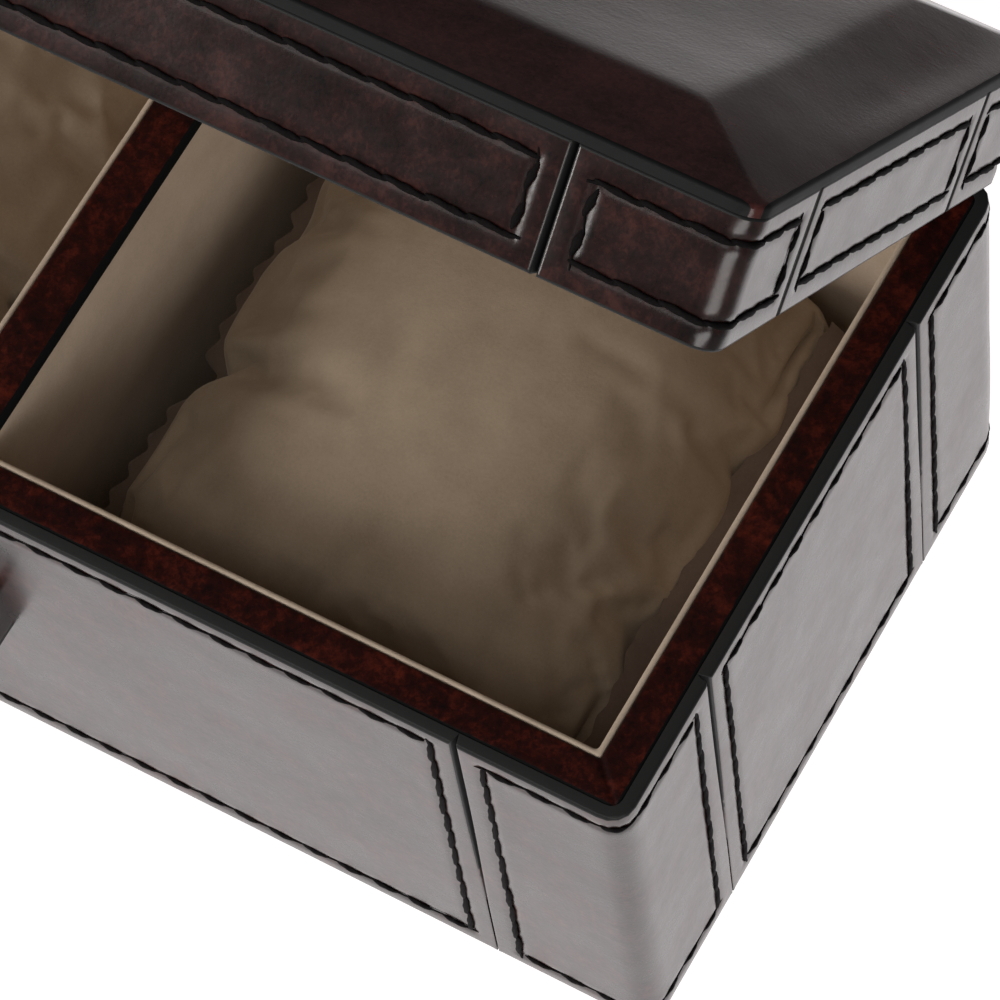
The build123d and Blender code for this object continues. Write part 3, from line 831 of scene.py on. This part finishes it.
def filled(points, borders):
    """The points inside a loop and the quads that fill it, blended from its four borders.

    borders holds the point numbers of the front, right, back and left, in rising x or y.
    """
    front, right, back, left = borders
    grid = np.empty((len(left), len(front)), int)
    grid[0], grid[-1], grid[:, -1], grid[:, 0] = front, back, right, left
    grid[1:-1, 1:-1] = len(points) + np.arange((len(left) - 2) * (len(front) - 2)).reshape(len(left) - 2, -1)
    v = (np.arange(1, len(left) - 1) / (len(left) - 1))[:, None, None]
    u = (np.arange(1, len(front) - 1) / (len(front) - 1))[None, :, None]
    edge_u = (1 - v) * points[front[1:-1]][None] + v * points[back[1:-1]][None]
    edge_v = (1 - u) * points[left[1:-1]][:, None] + u * points[right[1:-1]][:, None]
    corner = ((1 - u) * (1 - v) * points[front[0]] + u * (1 - v) * points[front[-1]]
              + (1 - u) * v * points[back[0]] + u * v * points[back[-1]])
    inner = (edge_u + edge_v - corner).reshape(-1, 3)
    quads = np.stack([grid[:-1, :-1], grid[:-1, 1:], grid[1:, 1:], grid[1:, :-1]], axis=-1)
    return inner, list(quads.reshape(-1, 4))


def lid_height(inset):
    """The lid's height at a distance in from its outline: rounded edge, bevel, soft bend, flat."""
    edge_high = band_top + lid_edge
    rise = lid_top - edge_high
    edge_round = 0.5
    bend = 0.35
    outside = 1 - np.clip(inset / edge_round, 0, 1)
    rounded = edge_high - edge_round * (1 - np.sqrt(np.clip(1 - outside**2, 0, 1)))
    gap = rise * inset / bevel_run - rise
    eased = rise + 0.5 * (gap - np.sqrt(gap * gap + bend * bend)) + 0.5 * bend * 0.2
    return rounded + np.minimum(np.maximum(eased, 0), rise)


def lid_cover():
    """The hide over the lid's top: a painted edge, four soft bevels and a flat, all in one skin."""
    per_side, per_corner = (96, 46), 5
    edge_low = band_top
    insets = [0.0, 0.06, 0.2, 0.45, 0.8, 1.4, 2.4, 4, 6, 8, 10, 12, 13.5, 14.6, 15.4, 16.0, 16.6, 17.4,
              18.6, 20.5]
    loops = []
    for inset, z in [(0.0, edge_low)] + [(inset, float(lid_height(np.float64(inset)))) for inset in insets]:
        flat = top_outline(inset, max(corner_radius - inset, 1.2), per_side, per_corner)
        loops.append(np.concatenate([flat, np.full((len(flat), 1), z)], axis=1))
    rings = np.array(loops)
    count = rings.shape[1]
    faces = list(grid_faces(len(rings), count, wrap_columns=True))
    points = rings.reshape(-1, 3)
    last = (len(rings) - 1) * count
    long_side, short_side = (share + 2 * per_corner - 1 for share in per_side)
    starts = (0, long_side, long_side + short_side, 2 * long_side + short_side)
    borders = [last + (start + np.arange(size + 1)) % count
               for start, size in zip(starts, (long_side, short_side) * 2)]
    inner, quads = filled(points, (borders[0], borders[1], borders[2][::-1], borders[3][::-1]))
    points = np.concatenate([points, inner])
    faces += quads
    top_size = len(points)
    from_edge = inside_box(points)
    lift = 0.20 * waves(points, 70.0, 71) + 0.006 * waves(points, 14.0, 72)
    settle = smooth_step(from_edge, 0.5, 6)
    points[:, 2] += (lift - 0.28) * settle * (points[:, 2] > edge_low + 0.01)
    under = points.copy()
    under[:, 2] = edge_low + 0.002
    under[:, :2] *= 0.9995
    faces += [[f + top_size for f in reversed(face)] for face in faces]
    for first in range(count):
        second = (first + 1) % count
        faces.append([second, first, first + top_size, second + top_size])
    points = np.concatenate([points, under])
    paint = 1 - smooth_step(inside_box(points), 0.25, 0.9)
    # The top hide takes the lighter leather, whose colour holds painted light.
    add_mesh("hide_lid_top", points, faces, "lid", top_leather, paint, ["lid_top_leather"])


lid_cover()

# ---------------------------------------------------------------- closure


def strap_section(width, thickness, corner):
    """The rounded section of a strap: (across, through) points, through from 0 to thickness."""
    points = []
    runs = (7, 2)
    corners = ((1, 1), (-1, 1), (-1, -1), (1, -1))
    for turn, (cx, cy) in enumerate(corners):
        for step in range(4):
            angle = math.radians(turn * 90 + step * 30)
            points.append((cx * (width / 2 - corner) + corner * math.cos(angle),
                           thickness / 2 + cy * (thickness / 2 - corner) + corner * math.sin(angle)))
        first = np.array(points[-1])
        nx, ny = corners[(turn + 1) % 4]
        start = math.radians(turn * 90 + 90)
        last = np.array([nx * (width / 2 - corner) + corner * math.cos(start),
                         thickness / 2 + ny * (thickness / 2 - corner) + corner * math.sin(start)])
        for share in np.linspace(0, 1, runs[turn % 2] + 1)[1:-1]:
            points.append(tuple(first + (last - first) * share))
    return np.array(points)


def keeper():
    """A loop of strap that comes out of one slit in the front, over the tongue and into the other."""
    thickness = 1.4
    bend = 2.6
    half = keeper_high[0]
    reach = -half_depth - keeper_low[1]
    height, middle = keeper_high[2] - keeper_low[2], (keeper_high[2] + keeper_low[2]) / 2
    centre_half, centre_reach = half - thickness / 2, reach - thickness / 2
    radius = bend - thickness / 2
    path = [(-centre_half, depth) for depth in np.linspace(-leather, centre_reach - radius, 8)]
    path += [(-centre_half + radius - radius * math.cos(a), centre_reach - radius + radius * math.sin(a))
             for a in np.linspace(0, math.pi / 2, 8)[1:]]
    path += [(x, centre_reach) for x in np.linspace(-centre_half + radius, centre_half - radius, 9)[1:-1]]
    path += [(centre_half - radius + radius * math.sin(a), centre_reach - radius + radius * math.cos(a))
             for a in np.linspace(0, math.pi / 2, 8)]
    path += [(centre_half, depth) for depth in np.linspace(centre_reach - radius, -leather, 8)[1:]]
    path = np.array(path)
    heading = np.gradient(path, axis=0)
    heading /= np.linalg.norm(heading, axis=1)[:, None]
    outward = np.stack([-heading[:, 1], heading[:, 0]], axis=1)
    section = strap_section(height, thickness, 0.5)
    rings = np.empty((len(path), len(section), 3))
    through = section[:, 1] - thickness / 2
    rings[..., 0] = path[:, :1] + outward[:, :1] * through[None]
    rings[..., 1] = -half_depth - (path[:, 1:] + outward[:, 1:] * through[None])
    rings[..., 2] = middle + section[None, :, 0]
    stands_out = smooth_step(-half_depth - rings[..., 1], 0, 3)
    rings += 0.07 * waves(rings, 9.0, 51)[..., None] * stands_out[..., None]
    points, faces = loft(rings)
    rim_share = height / 2 - np.abs(points[:, 2] - middle)
    paint = 1 - smooth_step(rim_share, 0.3, 0.9)
    add_mesh("strap_keeper", points, faces, "base", strap_leather, paint, ["keeper_loop"])


def tongue():
    """The lid's strap: sewn to the front of the lid, standing off below it, with a round tip."""
    low, high = extent("lid_tongue", closed=True)
    width, top, tip = high[0] - low[0], high[2], low[2]
    thickness, tip_length = 1.8, 4.2
    hang = -low[1] - thickness - half_depth
    tip_turn = np.linspace(0, math.pi / 2, 14)[1:-1]
    rounded_tip = tip + tip_length * (1 - np.sin(tip_turn))
    heights = np.concatenate([np.linspace(top, tip + tip_length, 40), rounded_tip])
    rings = []
    for z in heights:
        narrow = np.clip((z - tip) / tip_length, 0.0, 1.0)
        half = width / 2 * math.sqrt(1 - (1 - narrow) ** 2)
        section = strap_section(2 * half, thickness, min(0.45, half * 0.8))
        stand = hang * (1 - smooth_step(z, lid_low - 2, lid_low + 2)) + 0.02
        thin = 1 - 0.35 * hill(z - top, 0.8)
        rings.append(np.stack([section[:, 0], -half_depth - stand - section[:, 1] * thin,
                               np.full(len(section), z)], axis=1))
    rings = np.array(rings)
    rings[..., 1] -= 0.05 * waves(rings, 12.0, 52) * smooth_step(-half_depth - rings[..., 1], 0.5, 1.2)
    points, faces = loft(rings)
    inward = np.minimum(width / 2 - np.abs(points[:, 0]), top - points[:, 2])
    tip_centre = np.hypot(points[:, 0], np.minimum(points[:, 2] - (tip + tip_length), 0))
    inward = np.minimum(inward, tip_length + 0.3 - tip_centre)
    paint = 1 - smooth_step(inward, 0.3, 0.9)
    add_mesh("strap_tongue", points, faces, "lid", strap_leather, paint, ["lid_tongue"])
    seam_x, seam_top, seam_foot = width / 2 - 1.7, top - 1.8, band_top - 16.5
    draw = np.random.default_rng(9)
    seams = []
    for x in (-seam_x, seam_x):
        seams += thread_run(seam_top, seam_foot, x, True, draw)
    seams += thread_run(-seam_x, seam_x, seam_top, False, draw)
    sewn("thread_tongue", seams, draw, "lid", (), proud=thickness + 0.1)


keeper()
tongue()

# ---------------------------------------------------------------- cushions

seam_height = 45.0
seam_inset = 3.6  # from the end of the CAD's cover to its end seam
cover_margin = 0.6  # from the side of the CAD's cover to the fabric
bay_clearance = 0.3
flange_width = 5.6
tooth_pitch = 5.2
tooth_depth = 2.9
flange_thickness = 0.9
flange_droop = 40.0  # degrees below level
crown_fall = 2.2  # from the crown of the cushion to its rim
slump = 4.5  # how much lower the filling has settled at the front right
stuffing_reach = 4.0  # the simulation moves no point further than this
refinement = 3  # the simulated grid is made this much finer before its folds are pressed in

# Gathers in each end seam: (offset in y from the cushion's middle, how far it pulls in, half width).
gathers = {
    "right": {-1: [(-9.5, 3.4, 3.0), (17.0, 1.0, 5.0)], 1: [(12.0, 1.4, 4.5), (-18.0, 1.2, 4.0)]},
    "left": {-1: [(6.0, 2.0, 4.0), (-20.0, 1.2, 4.0)], 1: [(-12.0, 2.2, 3.6), (20.0, 1.2, 4.2)]},
}

# Folds of the cover, seen from above: (x, y) to (x, y) from the cushion's middle, depth and half width.
folds = {
    "right": [
        ((-37, -9), (-20, -4), 1.5, 1.7), ((-37, -3), (-16, 4), 0.9, 2.2), ((-36, 14), (-22, 18), 0.8, 2.0),
        ((-8, -41), (2, -24), 1.2, 2.0), ((-2, -42), (9, -27), 1.1, 1.7), ((-13, -42), (-6, -30), 0.8, 1.6),
        ((21, -43), (22, -28), 1.5, 1.8), ((38, -40), (27, -22), 1.2, 2.2), ((41, -34), (32, -17), 0.9, 2.2),
        ((42, -22), (33, -8), 0.6, 2.6), ((40, 12), (28, 16), 0.6, 2.6), ((39, 28), (26, 24), 0.7, 2.4),
    ],
    "left": [
        ((-37, 6), (-22, 2), 1.2, 1.9), ((-36, -20), (-24, -15), 1.1, 1.8), ((37, -12), (20, -7), 1.4, 1.8),
        ((37, 20), (24, 15), 1.1, 2.0), ((-12, -42), (-4, -27), 1.2, 1.9), ((8, -42), (10, -28), 1.2, 1.8),
        ((30, -41), (23, -26), 1.4, 1.9), ((-30, -41), (-24, -27), 1.2, 1.8), ((2, 42), (5, 28), 1.0, 2.0),
    ],
}


def seam_line(side, end, y):
    """The x of an end seam, from the cushion's middle, at each y."""
    low, high = extent(f"cushion_{side}_cover")
    half = (high[0] - low[0]) / 2 - seam_inset
    pulled = sum(depth * hill(y - at, width) for at, depth, width in gathers[side][end])
    return end * (half - pulled + 0.3 * np.sin(y / 9.0))


def cushion_form(side):
    """The cover before it is stuffed: a fabric tube whose two ends are sewn flat along a line."""
    low, high = extent(f"cushion_{side}_cover")
    centre = (low + high) / 2
    half_y = (high[1] - low[1]) / 2 - cover_margin
    columns, sides = 45, 112
    even = np.linspace(-1, 1, columns)
    share = 0.35 * np.sin(even * math.pi / 2) + 0.65 * even
    turn = np.linspace(0, 2 * math.pi, sides, endpoint=False)
    rings = np.empty((columns, sides, 3))
    for row, x_share in enumerate(share):
        puff = (1 - abs(x_share) ** 2.3) ** 0.52
        depth = half_y * (1 - 0.09 * abs(x_share) ** 5)
        cos, sin = np.cos(turn), np.sin(turn)
        y = depth * np.sign(cos) * np.abs(cos) ** (2 / 2.6)
        thick = max(puff, 0.03)
        up = (high[2] - seam_height - 1.0) * thick
        down = (seam_height - low[2] - 1.0) * thick
        z = np.where(sin > 0, up, down) * np.sign(sin) * np.abs(sin) ** (2 / 2.3)
        edge = seam_line(side, 1 if x_share > 0 else -1, y)
        rings[row, :, 0] = centre[0] + abs(x_share) * edge
        rings[row, :, 1] = centre[1] + y
        rings[row, :, 2] = seam_height + z
    return rings, centre


def tube_faces(columns, sides):
    """Quads of the cover, with each end ring's upper half sewn to its lower half."""
    faces = [list(map(int, face)) for face in grid_faces(columns, sides, wrap_columns=True)]
    for row in (0, columns - 1):
        ring = [row * sides + k for k in range(sides)]
        faces.append([ring[0], ring[1], ring[-1]])
        for k in range(1, sides // 2 - 1):
            faces.append([ring[k], ring[k + 1], ring[-k - 1], ring[-k]])
        faces.append([ring[sides // 2 - 1], ring[sides // 2], ring[sides // 2 + 1]])
    return faces


def between(values, factor, closed):
    """More points along the first axis, on smooth curves through the given ones."""
    count = len(values)
    if closed:
        padded = np.concatenate([values[-1:], values, values[:2]])
        steps = np.arange(count * factor) / factor
    else:
        padded = np.concatenate([2 * values[:1] - values[1:2], values, 2 * values[-1:] - values[-2:-1]])
        steps = np.arange((count - 1) * factor + 1) / factor
    first = np.minimum(steps.astype(int), len(padded) - 4)
    t = (steps - first).reshape(-1, *[1] * (values.ndim - 1))
    a, b, c, d = (padded[first + k] for k in range(4))
    return 0.5 * (2 * b + (c - a) * t + (2 * a - 5 * b + 4 * c - d) * t**2 + (3 * b - a - 3 * c + d) * t**3)


def stuffed(points, faces, rings_shape):
    """The cover after a short cloth simulation with air pressure inside; its end seams stay put."""
    mesh = bpy.data.meshes.new("stuffing")
    mesh.from_pydata([tuple(p * MM) for p in points], [], faces)
    piece = in_scene("stuffing", mesh)
    columns, sides = rings_shape
    seam = list(range(sides)) + list(range((columns - 1) * sides, columns * sides))
    group = piece.vertex_groups.new(name="seam")
    group.add(seam, 1.0, "REPLACE")
    cloth = piece.modifiers.new("cloth", "CLOTH")
    settings = cloth.settings
    settings.use_pressure = True
    settings.uniform_pressure_force = 4.0
    settings.quality = 6
    settings.mass = 0.25
    settings.tension_stiffness = 18
    settings.compression_stiffness = 18
    settings.bending_stiffness = 0.35
    settings.shrink_min = -0.045
    settings.effector_weights.gravity = 0
    settings.vertex_group_mass = "seam"
    cloth.point_cache.frame_start = 1
    cloth.point_cache.frame_end = 20
    for number in range(1, 21):
        bpy.context.scene.frame_set(number)
    evaluated = piece.evaluated_get(bpy.context.evaluated_depsgraph_get())
    moved = np.array([v.co for v in evaluated.data.vertices]) / MM
    bpy.context.scene.frame_set(1)
    bpy.data.objects.remove(piece)
    return moved


def flange(side, end, centre):
    """The pinked edge of an end seam: two layers of suede cut in a zigzag."""
    low, high = extent(f"cushion_{side}_cover")
    reach = (high[1] - low[1]) / 2 - 3.0
    y = np.arange(-reach, reach, tooth_pitch / 8)
    tooth = 1 - 2 * np.abs(np.mod(y / tooth_pitch, 1) - 0.5)
    width = flange_width - tooth_depth * tooth
    root = seam_line(side, end, y)
    shares = np.linspace(-0.25, 1, 7)
    rings = []
    droop = math.radians(flange_droop)
    for share in shares:
        out = width * share
        x = root + end * out * math.cos(droop)
        z = seam_height - out * math.sin(droop) + 0.4 * np.sin(y / 8.3 + end) * share
        rings.append(np.stack([centre[0] + x, centre[1] + y, z], axis=-1))
    outer = np.array(rings)
    inner = outer.copy()
    inner[..., 2] -= flange_thickness
    return shell(outer, inner)


def cushion(side, seed):
    """A watch cushion: the stuffed cover with folds from its seams, and its pinked edges."""
    rings, centre = cushion_form(side)
    columns, sides = rings.shape[:2]
    points = rings.reshape(-1, 3)
    step = stuffed(points, tube_faces(columns, sides), (columns, sides)) - points
    size = np.linalg.norm(step, axis=1)[:, None]
    points = points + step * np.minimum(1, stuffing_reach / np.maximum(size, 1e-6))
    rings = between(points.reshape(columns, sides, 3), refinement, False)
    rings = between(rings.transpose(1, 0, 2), refinement, True).transpose(1, 0, 2)
    quads = tube_faces(*rings.shape[:2])
    points = rings.reshape(-1, 3)
    local = points - centre
    dent = np.zeros(len(points))
    for first, second, depth, width in folds[side]:
        a, b = np.array(first, float), np.array(second, float)
        along = np.clip(((local[:, :2] - a) @ (b - a)) / ((b - a) @ (b - a)), 0, 1)
        near = np.hypot(*(local[:, :2] - (a + along[:, None] * (b - a))).T)
        fade = (1 - along) ** 0.7
        dent += 0.75 * depth * fade * (hill(near, 0.7 * width) - 0.3 * hill(near - 1.6 * width, width))
    on_top = smooth_step(points[:, 2], seam_height - 6, seam_height + 4)
    lean = smooth_step((local[:, 0] - local[:, 1]) / 86, -0.35, 0.95)
    crown = hill(np.hypot(local[:, 0] + 8, local[:, 1] - 10), 48.0)
    sag = dent + slump * lean + crown_fall * (1 - crown)
    points[:, 2] += on_top * (0.12 * waves(points, 30.0, seed) - sag)
    bay_low, bay_high = bay_box(side)
    points = np.clip(points, bay_low, bay_high)
    piece = add_mesh(f"cushion_{side}_pad", points, quads, f"cushion_{side}", cushion_suede,
                     None, [f"cushion_{side}_cover", f"cushion_{side}_filling"])
    for end, word in ((-1, "left"), (1, "right")):
        points, faces = flange(side, end, centre)
        points = np.clip(points, bay_low, bay_high)
        # The pinked edges take the darker suede, which is painted shade.
        add_mesh(f"cushion_{side}_pinked_{word}", points, faces, f"cushion_{side}",
                 pinked_suede)


def bay_box(side):
    """The space a cushion has, a little clear of its bay's walls and floor."""
    low, high = extent(f"lining_wall_{side}")
    floor_top = extent(f"lining_floor_{side}")[1][2]
    clear = suede + bay_clearance
    return (np.array([low[0] + clear, low[1] + clear, floor_top + bay_clearance]),
            np.array([high[0] - clear, high[1] - clear, base_top]))


cushion("left", 5)
cushion("right", 6)

# ---------------------------------------------------------------- the CAD nodes that stay


def dress(node, material, soften=0.0):
    """Gives a CAD node its material, and a small bevel on its edges."""
    piece = frame["nodes"][node]
    piece.data.materials.clear()
    piece.data.materials.append(material)
    if soften:
        bevel = piece.modifiers.new("soften", "BEVEL")
        bevel.width = soften * MM
        bevel.segments = 2
        bevel.limit_method = "ANGLE"
        bevel.angle_limit = math.radians(40)


for node in frame["nodes"]:
    if node.endswith("_board"):
        dress(node, carcase_board)
    elif node.endswith("_leaf"):
        dress(node, brass, 0.12)
    elif node.endswith("_pin"):
        dress(node, steel, 0.1)
    elif node.endswith("_screws"):
        dress(node, brass)
    elif node == "underside_cover":
        dress(node, underside_suede)

# ---------------------------------------------------------------- floor, light and camera


def floor_material():
    """A pale table with a painted pool of light: it emits light around the box, more to its right, and fades
    out far from it.
    """
    n = Nodes("pale_floor", Roughness=0.9, Specular_IOR_Level=0.1)
    distance = n.add("ShaderNodeVectorMath", operation="DISTANCE")
    n.feed(n.place, distance.inputs[0])
    distance.inputs[1].default_value = (-0.03, 0, 0)
    grey = n.noise(300.0, detail=1)
    # Painted light: the floor's own emission, bright near the box and fading with distance.
    painted_light_pool = n.add("ShaderNodeMapRange", interpolation_type="SMOOTHSTEP")
    for socket, value in (("From Min", 0.24), ("From Max", 0.345), ("To Min", 0.90), ("To Max", 0.0)):
        painted_light_pool.inputs[socket].default_value = value
    n.feed(distance.outputs["Value"], painted_light_pool.inputs["Value"])
    across = n.add("ShaderNodeSeparateXYZ")
    n.feed(n.place, across.inputs["Vector"])
    # Painted light: the emission grows towards the right.
    painted_light_to_right = n.sums("MULTIPLY_ADD", across.outputs["X"], 1.3, 1.0)
    n.feed(n.sums("MULTIPLY", painted_light_pool.outputs["Result"], painted_light_to_right), n.shader.inputs["Emission Strength"])
    n.shader.inputs["Emission Color"].default_value = (1.0, 0.955, 0.965, 1)
    return n.finish(n.ramp(grey, (0.3, 0.35), (0.7, 0.38)), 0.9, n.bump(grey, 0.01))


def floor():
    """The table that the box stands on, in metres, a hair below its underside."""
    half, count, height = 1.6, 17, -0.0003
    x, y = np.meshgrid(np.linspace(-half, half, count), np.linspace(-half, half, count))
    points = np.stack([x, y, np.full(x.shape, height)], axis=-1).reshape(-1, 3)
    mesh = bpy.data.meshes.new("floor")
    mesh.from_pydata([tuple(p) for p in points], [], grid_faces(count, count).tolist())
    mesh.materials.append(floor_material())
    table = in_scene("floor", mesh)


def softbox(name, place, size, power):
    """A soft rectangular light, aimed at the middle of the box."""
    light = bpy.data.lights.new(name, "AREA")
    light.shape = "RECTANGLE"
    light.size, light.size_y = size
    light.energy = power
    light.color = (1.0, 0.975, 0.95)
    lamp = in_scene(name, light)
    lamp.location = place
    lamp.rotation_euler = (Vector((0, 0, 0.05)) - Vector(place)).to_track_quat("-Z", "Y").to_euler()


def room():
    """Faint light from all around, and three windows."""
    world = bpy.data.worlds.new("room")
    world.use_nodes = True
    background = world.node_tree.nodes["Background"]
    background.inputs["Color"].default_value = (0.95, 0.97, 1.0, 1)
    background.inputs["Strength"].default_value = 0.09
    bpy.context.scene.world = world
    softbox("window_left", (-0.96, -0.75, 0.56), (0.55, 0.50), 11.0)
    softbox("window_right", (0.83, -0.89, 0.52), (1.00, 0.46), 6.0)
    softbox("skylight", (0.0, -0.58, 1.15), (1.1, 0.35), 2.6)


def camera():
    """The viewing angle: turned right of the front, high up, and rolled a little."""
    azimuth, elevation, roll = (math.radians(a) for a in (38.871, 63.640, -10.438))
    place = (0.28193, -0.27921, 0.74946)
    forward = Vector((-math.sin(azimuth) * math.cos(elevation),
                      math.cos(azimuth) * math.cos(elevation), -math.sin(elevation)))
    level_right = forward.cross(Vector((0, 0, 1))).normalized()
    level_up = level_right.cross(forward)
    right = level_right * math.cos(roll) + level_up * math.sin(roll)
    up = right.cross(forward)
    data = bpy.data.cameras.new("camera")
    data.lens, data.sensor_width = 195.4, 36.0
    data.clip_start, data.clip_end = 0.05, 20.0
    eye = in_scene("camera", data)
    turn = Matrix((right, up, -forward)).transposed()
    eye.matrix_world = Matrix.Translation(place) @ turn.to_4x4()
    bpy.context.scene.camera = eye


floor()
room()
camera()
bpy.context.scene.view_settings.view_transform = "Standard"
bpy.context.scene.view_settings.look = "None"
